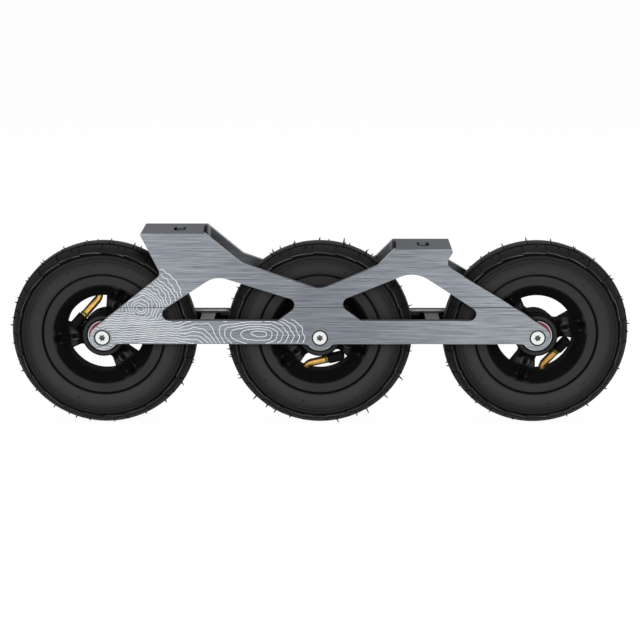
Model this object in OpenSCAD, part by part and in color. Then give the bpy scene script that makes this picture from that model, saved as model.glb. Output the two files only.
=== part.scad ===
// Off-road inline skate frame: a one-piece machined channel that carries three pneumatic
// wheels on through axles, with a raised heel mount and a lower toe mount for the boot.
// The origin is on the ground under the middle axle, +X points to the toe and +Z is up.

/* [Wheels] */
// Outer diameter of the inflated tyre
tyre_d = 127; // [120:0.5:130]
// Width of the tyre at its widest
tyre_w = 27; // [24:0.5:30]
// Thickness of the tyre's casing
tyre_wall = 2.6; // [2:0.1:3.5]
// Squareness of the tyre's section, where 2 is an ellipse
tyre_square = 2.3; // [2:0.1:3]
// Depth of the grooves in the tread
tread_depth = 0.9; // [0.4:0.1:1.4]
// Width of the grooves in the tread
tread_groove_w = 1.3; // [0.8:0.1:2]
// Number of shoulder blocks round each side of the tyre
tread_blocks = 24; // [12:1:32]
// Height of the fine ribs on the tyre's side
rib_h = 0.3; // [0.1:0.05:0.5]
// Gap between the tyre's side and the rim's flange
bead_gap = 1.3; // [0.8:0.1:1.8]
// Thickness of the inner tube's rubber
tube_wall = 1.2; // [0.8:0.1:1.6]

/* [Rim] */
// Radius of the rim's flange, where the tyre begins to show
flange_r = 41; // [39:0.2:43]
// Inner radius of the flat ring on the flange
flange_inner_r = 32.8; // [31:0.2:34]
// Width of the rim over its two flanges
rim_w = 20.6; // [18:0.2:23]
// Thickness of each flange
flange_t = 2.1; // [1.6:0.1:2.8]
// Radius of the seat that the tyre's bead grips
bead_r = 35.8; // [34.8:0.1:37]
// Radius of the well between the two bead seats
well_r = 31.4; // [30:0.1:33]
// Inner radius of the rim's barrel at its middle
barrel_r = 27.3; // [26:0.1:28]
// Thickness of a spoke in each rim half
spoke_t = 5.5; // [4.5:0.1:6.5]
// Angle that each window between the spokes spans
window_angle = 82; // [60:1:84]
// Rounding of the windows' inner corners
window_r = 4; // [2:0.5:5]
// Wall of the hub round the bearing
hub_wall = 3.6; // [2.5:0.1:4]
// Distance of the rim screws from the axle
screw_pitch_r = 20.8; // [19:0.1:22]
// Diameter of the rim screws
screw_d = 4; // [3:0.5:5]
// Thickness of the two gussets that join each spoke to the flange
gusset_t = 1.6; // [1.2:0.1:2.4]
// Height of the gussets above the spoke
gusset_h = 2.8; // [1.5:0.1:3.8]

/* [Valve] */
// Diameter of the bent valve stem
valve_d = 5; // [4:0.1:5.6]
// Angle from a spoke to the valve's hole in the barrel
valve_angle = 31; // [29:0.5:33]
// Angle of the stem's bend
valve_bend = 53; // [53:1:58]
// Radius of the stem's bend
valve_bend_r = 5.5; // [5:0.5:7]
// Lean of the bent stem towards the side of the wheel
valve_lean = 27; // [25:1:29]
// Length of the stem past its bend
valve_run = 20; // [18:0.5:20.5]
// Diameter of the valve's cap
cap_d = 7.2; // [6.6:0.1:7.5]
// Length of the valve's cap
cap_len = 10.5; // [9:0.5:11]

/* [Bearings and axles] */
// Bore of the bearings
bearing_bore = 8; // [7:0.5:9]
// Outer diameter of the bearings
bearing_od = 22; // [21:0.5:23]
// Width of each bearing
bearing_w = 7; // [6:0.1:8]
// Diameter of the bearing balls
ball_d = 3.97; // [3.5:0.01:4.2]
// Number of balls in each bearing
ball_count = 7; // [5:1:8]
// Diameter of the axle's head
axle_head_d = 10.4; // [9.6:0.1:12]
// Thickness of the axle's head
axle_head_h = 3; // [2:0.1:3.6]
// Width of the six-lobed drive recess
drive_d = 4.4; // [3.6:0.1:5.2]
// Depth of the drive recess
drive_depth = 2.2; // [1.5:0.1:2.6]

/* [Frame] */
// Distance between the rear and the front axle
wheelbase = 295; // [290:1:315]
// Room between the tyre and each wall
tyre_gap = 1.4; // [1:0.1:3]
// Thickness of each wall
wall_t = 4.6; // [4:0.1:5.5]
// Height of the raised ring inside each wall that meets the bearing
axle_boss_h = 1.9; // [1:0.1:2.6]
// Radius of the wall's round end at each axle
boss_r = 8.6; // [8.2:0.1:11]
// Fillet where a round end runs into the lower bar
boss_fillet = 10; // [6:0.5:14]
// Height of the lower bar's top edge above the axles
bar_top = 12; // [10:0.1:14]
// Depth of the lower bar's bottom edge below the axles
bar_bottom = 4.2; // [2.5:0.1:6]
// Height of the fine step along the wall above the axles
step_h = 20.9; // [18:0.1:23]
// Depth of the fine step in the wall's face
step_depth = 0.35; // [0.2:0.05:0.6]
// Width of the fine line cut along the step
step_line_w = 0.5; // [0.3:0.1:0.8]
// Depth of the fine line below the step
step_line_depth = 0.4; // [0.2:0.1:0.6]

/* [Boot mounts] */
// Distance between the two mounting slots
mount_spacing = 165; // [160:0.5:180]
// Distance of the heel slot behind the middle axle
heel_slot_back = 95; // [90:0.5:100]
// Height of the heel mount above the axles
heel_top = 71.7; // [70:0.1:78]
// Height of the toe mount above the axles
toe_top = 61.1; // [58:0.1:68]
// Length of the heel mount behind its slot
heel_back = 25.7; // [20:0.1:27]
// Length of the heel mount's wall in front of its slot
heel_front = 18.1; // [14:0.1:20]
// Length of the toe mount's wall behind its slot
toe_back = 20.1; // [16:0.1:22]
// Length of the toe mount in front of its slot
toe_front = 18.6; // [15:0.2:20]
// Thickness of the mount plates between the walls
plate_t = 9; // [7:0.5:10]
// Distance that a plate's inner end stops short of its walls
plate_inset = 2; // [1:0.1:4]
// Width of a mounting slot
slot_w = 8; // [6:0.1:9]
// Length of a mounting slot across the frame
slot_len = 15; // [12:0.5:20]

/* [Struts and windows] */
// Height of the notch below the heel mount
heel_notch_h = 43.75; // [40:0.25:47]
// Height of the waist below the toe mount
toe_waist_h = 50; // [48:0.2:53]
// Height of the bend in the front strut's upper edge
front_bend_h = 27.4; // [25:0.1:31]
// Height of the saddle between the mounts
saddle_h = 33.4; // [32:0.1:36]
// Height of the rear window's peak, before its rounding
rear_peak_h = 42.9; // [41:0.1:46]
// Height of the front window's peak, before its rounding
front_peak_h = 46.3; // [44:0.1:49]
// Height of the windows' tips beside the middle axle
tip_h = 24.6; // [23:0.1:27]
// Distance of the rear window's tip from the middle axle
rear_tip_x = 11.8; // [10:0.1:14]
// Distance of the front window's tip from the middle axle
front_tip_x = 10.8; // [10:0.1:14]
// Rounding of the windows' sharp tips
tip_r = 4.6; // [3:0.1:5]
// Height of the cross bridges
bridge_h = 10; // [7:0.5:12]
// Drop of the cross bridges below the lower bar's top edge
bridge_drop = 2; // [1:0.1:4]
// Room between a cross bridge and the outer wheel
bridge_outer_gap = 2.25; // [1.5:0.05:3]
// Room between a cross bridge and the middle wheel
bridge_inner_gap = 8.75; // [7:0.05:10]
// Fillet left by the cutter where plates and bridges meet the walls
cutter_r = 4.5; // [3:0.5:6]

/* [Hidden] */
$fn = 64;
frame_grey = [0.47, 0.50, 0.53];
rubber_black = [0.10, 0.10, 0.10];
rim_brown = [0.22, 0.21, 0.20];
steel = [0.78, 0.78, 0.80];
brass = [0.76, 0.58, 0.28];
seal_red = [0.62, 0.12, 0.18];

// Clearances: a running gap, a press seat and a drilled hole round its bolt
run_gap = 0.2;
seat_gap = 0.03;
hole_gap = 0.1;
// Overlap of fused solids, and how far a cutter runs past a face
lap = 0.6;
past = 1;

wheels = ["rear", "middle", "front"];
pitch = wheelbase / 2;
axle_x = [-pitch, 0, pitch];
axle_z = tyre_d / 2;
// Direction of the spoke before each wheel's valve, counted from the toe upwards
spoke_phase = [66, 218, 252];

inner_half = tyre_w / 2 + tyre_gap;
frame_w = 2 * (inner_half + wall_t);
hub_half = inner_half - axle_boss_h;
heel_slot_x = -heel_slot_back;
toe_slot_x = mount_spacing - heel_slot_back;

// Bearings: the rings' walls, the balls' play in their grooves and in the cage, and the seals
ring_in_wall = 2.05;
ring_out_wall = 2;
groove_play = 0.07;
pocket_play = 0.13;
ring_in_r = bearing_bore / 2 + ring_in_wall;
ring_out_r = bearing_od / 2 - ring_out_wall;
ball_pitch_r = (bearing_bore + bearing_od) / 4;
seal_t = 0.7;
seal_inset = 0.25;
seal_seat = 0.8;

// Rim: the hub's ends stay behind the inner rings, and a lip holds each outer ring from inside
hub_recess = 0.3;
hub_lip = 1.6;
hub_r = bearing_od / 2 + hub_wall;
hub_face = hub_half - hub_recess;
hub_shoulder = bearing_od / 2 - hub_lip;
rim_half = rim_w / 2;
window_edge = 0.6;

// Tyre: its rounded section reaches a little below the flange
bead_tuck = 1.5;
section_a = (tyre_d / 2 - flange_r) / 2 + bead_tuck;
section_r = tyre_d / 2 - section_a;
// Where the long grooves, the ends of the shoulder grooves and the side ribs lie, counted from the crown
groove_turn = 26;
shoulder_turn = 58;
rib_turns = [72, 77, 82];
rib_w = 0.5;

// Rim screws
screw_head_d = 1.75 * screw_d;
screw_head_h = 0.65 * screw_d;
screw_sink = 0.75 * screw_d;
nut_w = 1.75 * screw_d;
nut_h = 0.7 * screw_d;
driver_d = 1.3 * screw_d;
driver_out = 0.4;

// Valve: a thicker base, a thinner thread and the start of the bend at the barrel
valve_step = 0.4;
valve_base_d = valve_d + valve_step;
valve_thread_d = valve_d - 2 * valve_step;
bend_start = barrel_r;
tube_gap = 0.3;
tube_inset = tyre_wall + tube_gap;

piece_names = [
    "axle_bolt", "bearing_spacer", "bearing_inner_rings", "bearing_outer_rings",
    "bearing_balls", "bearing_cages", "bearing_seals", "rim_near_half", "rim_far_half",
    "rim_screws", "rim_nuts", "tyre", "inner_tube", "valve_stem", "valve_cap"
];

// Points of an arc about c, from one angle to another
function arc(c, r, from, to, steps = 10) =
    [for (i = [0:steps]) c + r * heading(from + (to - from) * i / steps)];

function heading(turn) = [cos(turn), sin(turn)];

function unit(v) = v / norm(v);

function turn_of(v) = atan2(v[1], v[0]);

// Points that round the corner at v, between its neighbours a and b
function corner(a, v, b, r) =
    let (
        to_a = unit(a - v),
        to_b = unit(b - v),
        half = acos(to_a * to_b) / 2,
        c = v + unit(to_a + to_b) * r / sin(half),
        from = turn_of(v + to_a * r / tan(half) - c),
        sweep = (turn_of(v + to_b * r / tan(half) - c) - from + 540) % 360 - 180
    )
    arc(c, r, from, from + sweep, 8);

// A closed outline of [point, rounding] pairs with every corner rounded
function rounded(pairs) =
    let (
        n = len(pairs),
        points = [for (pair = pairs) pair[0]]
    )
    [for (i = [0:n - 1]) each corner(points[(i + n - 1) % n], points[i], points[(i + 1) % n], pairs[i][1])];

// Angle, seen from c, where the line from p touches a circle about c
function touch(p, c, r, side) = turn_of(p - c) + side * acos(r / norm(p - c));

// Fillets between a round end and the lower bar: their offset along the bar and their bearing
fillet_x = sqrt(pow(boss_r + boss_fillet, 2) - pow(bar_bottom + boss_fillet, 2));
fillet_turn = atan2(bar_bottom + boss_fillet, fillet_x);

function fillet_into(x) = arc([x - fillet_x, -bar_bottom - boss_fillet], boss_fillet, 90, fillet_turn);

function fillet_out(x) = arc([x + fillet_x, -bar_bottom - boss_fillet], boss_fillet, 180 - fillet_turn, 90);

// How far each corner of the side outline lies along and below the mount corner or axle before it
notch_in = 13.9;
heel_slope = [24.4, 20.3];
toe_slope = [11.1, 11.2];
nose_step = [0.5, 2.3];
waist_in = 5;
front_bend_back = 26;

// Corners of the side outline, as heights above the axles
heel_back_top = [heel_slot_x - heel_back, heel_top];
heel_front_top = [heel_slot_x + heel_front, heel_top];
heel_notch = [heel_back_top[0] + notch_in, heel_notch_h];
heel_foot = heel_front_top + [heel_slope[0], -heel_slope[1]];
saddle = [0, saddle_h];
toe_back_top = [toe_slot_x - toe_back, toe_top];
toe_foot = toe_back_top - toe_slope;
toe_front_top = [toe_slot_x + toe_front, toe_top];
toe_nose = toe_front_top + [nose_step[0], -nose_step[1]];
toe_waist = [toe_front_top[0] - waist_in, toe_waist_h];
front_bend = [pitch - front_bend_back, front_bend_h];
rear_axle = [-pitch, 0];
front_axle = [pitch, 0];
rear_touch = touch(heel_notch, rear_axle, boss_r, 1);
front_touch = touch(front_bend, front_axle, boss_r, -1);

// Rounding of the outline's edges, notches and valleys, and of the front strut's long bend
edge_r = 0.8;
notch_r = 4;
waist_r = 5.8;
valley_r = 14;
heel_foot_r = 10;
toe_foot_r = 8;
strut_bend_r = 30;

// The side outline of both walls, from the heel mount down, along the bar and back over the top
function side_outline() =
    concat(
        corner(heel_front_top, heel_back_top, heel_notch, edge_r),
        corner(heel_back_top, heel_notch, rear_axle + boss_r * heading(rear_touch), notch_r),
        arc(rear_axle, boss_r, rear_touch, 360 - fillet_turn, 20),
        fillet_out(-pitch),
        fillet_into(0),
        arc([0, 0], boss_r, 180 + fillet_turn, 360 - fillet_turn),
        fillet_out(0),
        fillet_into(pitch),
        arc(front_axle, boss_r, 180 + fillet_turn, 360 + front_touch, 20),
        corner(front_axle + boss_r * heading(front_touch), front_bend, toe_waist, strut_bend_r),
        corner(front_bend, toe_waist, toe_nose, waist_r),
        corner(toe_waist, toe_nose, toe_front_top, edge_r),
        corner(toe_nose, toe_front_top, toe_back_top, edge_r / 2),
        corner(toe_front_top, toe_back_top, toe_foot, edge_r),
        corner(toe_back_top, toe_foot, saddle, toe_foot_r),
        corner(toe_foot, saddle, heel_foot, valley_r),
        corner(saddle, heel_foot, heel_front_top, heel_foot_r),
        corner(heel_foot, heel_front_top, heel_back_top, edge_r)
    );

// Where the windows' lower edges begin and end, and where their peaks lie from the mounts
rear_window_start = 30.2;
rear_window_flare = 16.6;
rear_peak_ahead = 6.8;
rear_peak_r = 16;
front_window_end = 30.9;
front_window_flare = 17.1;
front_peak_ahead = 14;
front_peak_r = 20;

rear_window = [
    [[-pitch + rear_window_start, bar_top], tip_r],
    [[-rear_tip_x - rear_window_flare, bar_top], notch_r],
    [[-rear_tip_x, tip_h], tip_r],
    [[heel_front_top[0] + rear_peak_ahead, rear_peak_h], rear_peak_r]
];
front_window = [
    [[front_tip_x + front_window_flare, bar_top], notch_r],
    [[pitch - front_window_end, bar_top], tip_r],
    [[toe_back_top[0] + front_peak_ahead, front_peak_h], front_peak_r],
    [[front_tip_x, tip_h], tip_r]
];

// Turns a side outline into a slab across the frame
module across(width) {
    rotate([90, 0, 0])
        linear_extrude(width, center = true)
            children();
}

// The filled corner that a round cutter leaves between two walls along the axes
module cutter_corner(r) {
    polygon(concat([[-lap, -lap], [r, -lap]], arc([r, r], r, 270, 180, 6), [[-lap, r]]));
}

module wall() {
    across(wall_t)
        difference() {
            polygon(side_outline());
            polygon(rounded(rear_window));
            polygon(rounded(front_window));
        }
}

// Two fillets up the walls beside the end face at x, on the side that ahead points to
module end_fillets(x, ahead, height) {
    for (side = [0, 1])
        mirror([0, side, 0])
            translate([x, inner_half, 0])
                linear_extrude(height)
                    rotate(180)
                        mirror([ahead > 0 ? 1 : 0, 0])
                            cutter_corner(cutter_r);
}

// A mount plate from x0 to x1, with its cutter fillets at the end that faces the other mount
module mount_plate(x0, x1, top, ahead) {
    translate([0, 0, top - plate_t]) {
        translate([x0, -inner_half - lap, 0])
            cube([x1 - x0, 2 * (inner_half + lap), plate_t + past]);
        end_fillets(ahead > 0 ? x1 : x0, ahead, plate_t + past);
        for (side = [0, 1])
            mirror([0, side, 0])
                translate([x0, inner_half, 0])
                    rotate([90, 0, 90])
                        linear_extrude(x1 - x0)
                            rotate(180)
                                cutter_corner(cutter_r);
    }
}

// A cross bridge between the walls, in the gap between the middle wheel and the front one
module bridge() {
    near = tyre_d / 2 + bridge_inner_gap;
    far = pitch - tyre_d / 2 - bridge_outer_gap;
    translate([0, 0, bar_top - bridge_drop - bridge_h]) {
        translate([near, -inner_half - lap, 0])
            cube([far - near, 2 * (inner_half + lap), bridge_h]);
        end_fillets(near, -1, bridge_h);
        end_fillets(far, 1, bridge_h);
    }
}

// The raised ring inside a wall that only the bearing's inner ring touches
module axle_boss() {
    flare = 2;
    land_r = ring_in_r - 0.15;
    rotate([90, 0, 0])
        translate([0, 0, -lap])
            cylinder(h = axle_boss_h + lap, r1 = land_r + flare, r2 = land_r);
}

// A mounting slot across the frame, cut down from the top of a mount
module slot() {
    reach = (slot_len - slot_w) / 2;
    depth = plate_t + 2 * past;
    translate([0, 0, -plate_t - past]) {
        for (side = [-1, 1])
            translate([0, side * reach, 0])
                cylinder(h = depth, d = slot_w);
        translate([-slot_w / 2, -reach, 0])
            cube([slot_w, 2 * reach, depth]);
    }
}

module frame_solid() {
    for (side = [-1, 1])
        translate([0, side * (inner_half + wall_t / 2), 0])
            wall();
    intersection() {
        across(2 * inner_half + wall_t)
            polygon(side_outline());
        union() {
            mount_plate(heel_back_top[0] - lap, heel_front_top[0] - plate_inset, heel_top, 1);
            mount_plate(toe_back_top[0] + plate_inset, toe_nose[0] + lap, toe_top, -1);
        }
    }
    for (side = [0, 1])
        mirror([side, 0, 0])
            bridge();
    for (x = axle_x, side = [0, 1])
        mirror([0, side, 0])
            translate([x, inner_half, 0])
                axle_boss();
}

module frame_body() {
    head_gap = 0.3;
    color(frame_grey)
        translate([0, 0, axle_z])
            difference() {
                frame_solid();
                for (x = axle_x)
                    translate([x, 0, 0])
                        rotate([90, 0, 0]) {
                            cylinder(h = frame_w + 2 * past, d = bearing_bore + 2 * hole_gap, center = true);
                            translate([0, 0, frame_w / 2 - axle_head_h])
                                cylinder(h = axle_head_h + past, d = axle_head_d + 2 * head_gap);
                        }
                translate([heel_slot_x, 0, heel_top])
                    slot();
                translate([toe_slot_x, 0, toe_top])
                    slot();
                for (side = [0, 1])
                    mirror([0, side, 0])
                        translate([-wheelbase, frame_w / 2 - step_depth, step_h]) {
                            cube([2 * wheelbase, step_depth + past, heel_top]);
                            translate([0, -step_line_depth, 0])
                                cube([2 * wheelbase, step_line_depth + past, step_line_w]);
                        }
            }
}

// Stands a wheel's piece on its axle: before this its axle is along Z, with the drive side up
module on_axle(i) {
    translate([axle_x[i], 0, axle_z])
        rotate([90, 0, 0])
            rotate(spoke_phase[i])
                children();
}

module both_sides() {
    children();
    mirror([0, 0, 1])
        children();
}

// The six-lobed recess: a round core with a lobe at each sixth of a turn
module drive_star() {
    core_d = 0.72 * drive_d;
    circle(d = core_d);
    for (lobe = [0:5])
        rotate(60 * lobe)
            translate([core_d / 2, 0])
                circle(d = drive_d - core_d);
}

module axle_bolt(i) {
    head_r = axle_head_d / 2;
    shank_r = bearing_bore / 2 - seat_gap;
    top = frame_w / 2;
    floor_z = top - axle_head_h;
    bevel = 0.5;
    tip = -top + bevel;
    color(steel)
        on_axle(i)
            difference() {
                rotate_extrude()
                    polygon([
                        [0, tip], [shank_r - bevel, tip], [shank_r, tip + bevel], [shank_r, floor_z],
                        [head_r, floor_z], [head_r, top - bevel], [head_r - bevel, top], [0, top]
                    ]);
                translate([0, 0, top - drive_depth])
                    linear_extrude(drive_depth + past)
                        drive_star();
            }
}

module bearing_spacer(i) {
    shy = 0.35;
    color(steel)
        on_axle(i)
            difference() {
                cylinder(h = 2 * (hub_half - bearing_w), r = ring_in_r - shy, center = true);
                cylinder(h = 2 * hub_half, d = bearing_bore + 2 * hole_gap, center = true);
            }
}

// Places one bearing's pieces in both ends of a hub, with the bearing's inner face at Z = 0
module in_both_bearings(i) {
    on_axle(i)
        both_sides()
            translate([0, 0, hub_half - bearing_w])
                children();
}

module ball_groove() {
    translate([ball_pitch_r, bearing_w / 2])
        circle(ball_d / 2 + groove_play);
}

module bearing_inner_rings(i) {
    color(steel)
        in_both_bearings(i)
            rotate_extrude()
                difference() {
                    translate([bearing_bore / 2, 0])
                        square([ring_in_r - bearing_bore / 2, bearing_w]);
                    ball_groove();
                }
}

module bearing_outer_rings(i) {
    seat = seal_inset + seal_t;
    color(steel)
        in_both_bearings(i)
            rotate_extrude()
                difference() {
                    translate([ring_out_r, 0])
                        square([bearing_od / 2 - ring_out_r, bearing_w]);
                    ball_groove();
                    for (z = [-past, bearing_w - seat])
                        translate([ring_out_r - past, z])
                            square([past + seal_seat, past + seat]);
                }
}

module bearing_seals(i) {
    color(seal_red)
        in_both_bearings(i)
            for (z = [seal_inset, bearing_w - seal_inset - seal_t])
                translate([0, 0, z])
                    difference() {
                        cylinder(h = seal_t, r = ring_out_r + seal_seat - seat_gap);
                        translate([0, 0, -past])
                            cylinder(h = seal_t + 2 * past, r = ring_in_r + run_gap);
                    }
}

module ball_ring(r) {
    for (ball = [1:ball_count])
        rotate(360 / ball_count * ball)
            translate([ball_pitch_r, 0, bearing_w / 2])
                sphere(r);
}

module bearing_balls(i) {
    color(steel)
        in_both_bearings(i)
            ball_ring(ball_d / 2);
}

// A crown cage: a thin ring with fingers between the balls
module bearing_cages(i) {
    from_z = seal_inset + seal_t + hole_gap;
    finger = 1.1;
    ring_play = 0.45;
    color(brass)
        in_both_bearings(i)
            difference() {
                translate([0, 0, from_z])
                    cylinder(h = bearing_w / 2 + finger - from_z, r = ring_out_r - ring_play);
                cylinder(h = bearing_w, r = ring_in_r + ring_play);
                ball_ring(ball_d / 2 + pocket_play);
            }
}

// Section of a rim half from the mid plane up to its flange and hub face
module rim_section() {
    seat_r = bearing_od / 2 + seat_gap;
    shoulder_z = hub_half - bearing_w;
    edge = 0.5;
    polygon([
        [hub_shoulder, 0],
        [well_r, 0],
        [well_r, spoke_t - 4 * edge],
        [bead_r - edge, spoke_t],
        [bead_r, rim_half - flange_t],
        [flange_r - 2 * edge, rim_half - flange_t + edge],
        [flange_r, rim_half - 2 * edge],
        [flange_r - edge, rim_half],
        [flange_inner_r + edge, rim_half],
        [flange_inner_r, rim_half - edge],
        [barrel_r + edge, spoke_t],
        [hub_r + 2 * edge, spoke_t],
        [hub_r, spoke_t + 2 * edge],
        [hub_r, hub_face - 2 * edge],
        [hub_r - 2 * edge, hub_face],
        [seat_r + edge, hub_face],
        [seat_r, hub_face - edge],
        [seat_r, shoulder_z],
        [hub_shoulder, shoulder_z]
    ]);
}

// A window between two spokes, with its corners at the hub rounded
module rim_window() {
    inner_r = hub_r + window_edge;
    outer_r = barrel_r - window_edge;
    from = 60 - window_angle / 2;
    to = 60 + window_angle / 2;
    shift = asin(window_r / (inner_r + window_r));
    centre_r = inner_r + window_r;
    polygon(concat(
        arc([0, 0], outer_r, from, to, 16),
        arc(centre_r * heading(to - shift), window_r, to + 90, to - shift + 180, 6),
        arc([0, 0], inner_r, to - shift, from + shift, 8),
        arc(centre_r * heading(from + shift), window_r, from + shift + 180, from + 270, 6)
    ));
}

// Two gussets from a spoke out to the flange, one on each side of the channel for a driver
module gussets() {
    from_r = screw_pitch_r + screw_d;
    for (side = [-1, 1])
        translate([from_r, side * (driver_d + gusset_t) / 2 - gusset_t / 2, 0])
            cube([flange_inner_r - from_r + lap, gusset_t, spoke_t + gusset_h]);
}

// The channel through the barrel's slope, so that a driver reaches a screw
module driver_channel() {
    end_r = flange_inner_r + driver_out - driver_d / 2;
    translate([end_r, 0, spoke_t])
        cylinder(h = rim_half, d = driver_d);
    translate([screw_pitch_r, -driver_d / 2, spoke_t])
        cube([end_r - screw_pitch_r, driver_d, rim_half]);
}

// One half of the split rim, with room at each spoke for a screw's head or, with six sides, its nut
module rim_shell(pocket_d, pocket_depth, pocket_sides) {
    pad_h = 0.8;
    pad_wall = 1.3;
    difference() {
        union() {
            rotate_extrude()
                rim_section();
            for (spoke = [0:2])
                rotate(120 * spoke)
                    translate([screw_pitch_r, 0, 0])
                        cylinder(h = spoke_t + pad_h, d = pocket_d + 2 * pad_wall);
            for (spoke = [0:2])
                rotate(120 * spoke)
                    gussets();
        }
        for (spoke = [0:2])
            rotate(120 * spoke) {
                translate([0, 0, -past])
                    linear_extrude(spoke_t + 2 * past)
                        rim_window();
                translate([screw_pitch_r, 0, -past])
                    cylinder(h = spoke_t + 2 * past, d = screw_d + 2 * hole_gap);
                translate([screw_pitch_r, 0, spoke_t - pocket_depth])
                    cylinder(h = pocket_depth + 2 * past, d = pocket_d, $fn = pocket_sides);
                driver_channel();
            }
        rotate(valve_angle)
            rotate([0, 90, 0])
                cylinder(h = well_r + past, d = valve_base_d + 2 * run_gap);
    }
}

module rim_near_half(i) {
    color(rim_brown)
        on_axle(i)
            rim_shell(screw_head_d + 3 * run_gap, screw_sink, $fn);
}

module rim_far_half(i) {
    color(rim_brown)
        on_axle(i)
            mirror([0, 0, 1])
                rim_shell((nut_w + run_gap) / cos(30), nut_h + run_gap, 6);
}

module at_screws(i) {
    on_axle(i)
        for (spoke = [0:2])
            rotate(120 * spoke)
                translate([screw_pitch_r, 0, 0])
                    children();
}

module rim_screws(i) {
    tip = -spoke_t + run_gap;
    head_z = spoke_t - screw_sink;
    color(steel)
        at_screws(i)
            difference() {
                union() {
                    translate([0, 0, tip])
                        cylinder(h = head_z - tip, d = screw_d - 2 * seat_gap);
                    translate([0, 0, head_z])
                        cylinder(h = screw_head_h, d = screw_head_d);
                }
                translate([0, 0, head_z + screw_head_h / 3])
                    cylinder(h = screw_head_h, d = 0.8 * screw_d, $fn = 6);
            }
}

module rim_nuts(i) {
    color(steel)
        at_screws(i)
            translate([0, 0, -spoke_t + run_gap])
                difference() {
                    cylinder(h = nut_h, d = nut_w / cos(30), $fn = 6);
                    translate([0, 0, -past])
                        cylinder(h = nut_h + 2 * past, d = screw_d);
                }
}

// A point of the tyre's rounded section, at an angle from the crown and some depth inside it
function section_point(inset, turn) =
    let (
        power = 2 / tyre_square,
        c = cos(turn),
        s = sin(turn)
    )
    [
        section_r + (section_a - inset) * sign(c) * pow(abs(c), power),
        (tyre_w / 2 - inset) * sign(s) * pow(abs(s), power)
    ];

// Direction out of the section at an angle from the crown
function section_normal(turn) =
    let (
        power = 2 - 2 / tyre_square,
        up = pow(abs(cos(turn)), power) / section_a,
        out = sign(sin(turn)) * pow(abs(sin(turn)), power) / (tyre_w / 2)
    )
    atan2(out, up);

function section_arc(inset, from, to, steps) =
    [for (i = [0:steps]) section_point(inset, from + (to - from) * i / steps)];

// The bead on one side, from the casing down to the rim's seat and in to the bead's toe
function bead_points(side, bead_z, toe_z) =
    let (
        seat = bead_r + seat_gap,
        foot = flange_r - 1.2,
        lip = flange_r + bead_gap / 2
    )
    [[lip, side * (bead_z + 0.5)], [foot, side * bead_z], [seat, side * bead_z], [seat, side * toe_z]];

// The casing: a rounded outside down to the flanges, two beads, and a hollow for the tube
module casing_section() {
    rest_r = flange_r + bead_gap;
    bead_w = 3.7;
    bead_z = rim_half - flange_t - hole_gap;
    toe_z = bead_z - bead_w;
    outer_end = 180 - acos(pow((section_r - rest_r) / section_a, tyre_square / 2));
    inner_end = 180 - asin(pow(toe_z / (tyre_w / 2 - tyre_wall), tyre_square / 2));
    far_bead = bead_points(-1, bead_z, toe_z);
    polygon(concat(
        section_arc(0, -outer_end, outer_end, 40),
        bead_points(1, bead_z, toe_z),
        section_arc(tyre_wall, inner_end, -inner_end, 30),
        [for (i = [3:-1:0]) far_bead[i]]
    ));
}

// Sets a piece on the section at an angle from the crown, with +X pointing out of the rubber
module on_section(turn) {
    translate(section_point(0, turn))
        rotate(section_normal(turn))
            children();
}

// The casing with its fine side ribs and the two long grooves of the tread
module tyre_section() {
    difference() {
        union() {
            casing_section();
            for (side = [-1, 1], turn = rib_turns)
                on_section(side * turn)
                    square([2 * rib_h, rib_w], center = true);
        }
        for (side = [-1, 1])
            on_section(side * groove_turn)
                square([2 * tread_depth, tread_groove_w], center = true);
    }
}

// A cutter for one shoulder groove, from a long groove down to the side of the tyre
module shoulder_groove() {
    from = section_point(0, groove_turn);
    to = section_point(0, shoulder_turn);
    middle = section_point(0, (groove_turn + shoulder_turn) / 2);
    reach = norm(to - from);
    translate([middle[0], 0, middle[1]])
        rotate([0, 90 - turn_of(to - from), 0])
            translate([-tread_depth, -tread_groove_w / 2, -reach / 2])
                cube([tread_depth + past, tread_groove_w, reach]);
}

module tyre(i) {
    color(rubber_black)
        on_axle(i)
            difference() {
                rotate_extrude()
                    tyre_section();
                both_sides()
                    for (block = [1:tread_blocks])
                        rotate(360 / tread_blocks * block)
                            shoulder_groove();
            }
}

// A closed ring of the tube's section, some depth inside the tyre's
function tube_ring(inset) = section_arc(inset, 0, 351, 39);

module inner_tube(i) {
    color(rubber_black)
        on_axle(i)
            difference() {
                rotate_extrude()
                    difference() {
                        polygon(tube_ring(tube_inset));
                        polygon(tube_ring(tube_inset + tube_wall));
                    }
                rotate(valve_angle)
                    rotate([0, 90, 0])
                        cylinder(h = section_r, d = valve_base_d + 2 * hole_gap);
            }
}

// Turns a piece so that the valve's hole is along X and its stem bends in the XY plane
module on_valve(i) {
    on_axle(i)
        rotate(valve_angle)
            rotate([valve_lean, 0, 0])
                children();
}

// The straight end of the stem, along Z from the end of the bend
module past_bend() {
    translate([
        bend_start - valve_bend_r * sin(valve_bend),
        valve_bend_r * (1 - cos(valve_bend)),
        0
    ])
        rotate(180 - valve_bend)
            rotate([0, 90, 0])
                children();
}

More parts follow.
